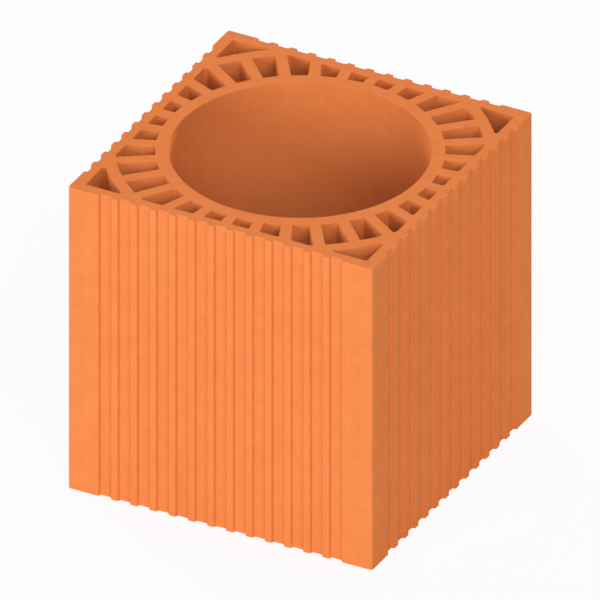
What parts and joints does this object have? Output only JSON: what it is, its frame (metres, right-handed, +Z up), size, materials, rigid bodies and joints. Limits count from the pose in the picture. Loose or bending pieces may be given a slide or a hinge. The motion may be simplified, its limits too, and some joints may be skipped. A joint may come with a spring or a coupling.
{
  "type": "perforated clay brick with round bore",
  "caption": "Square clay brick for columns or flues: a large round bore, a ring of radial cells, corner cells and upright plaster-key grooves on every side.",
  "frame": {"origin": "middle of the lower bed face, on the bore's axis", "axes": "+Z up along the bore, X and Y square to the grooved sides"},
  "size_m": [0.245, 0.245, 0.25],
  "materials": {
    "fired_clay": "matt orange fired clay, extruded, with wire-cut bed faces"
  },
  "bodies": {
    "root": {"clay_brick": "fired_clay"}
  },
  "joints": []
}
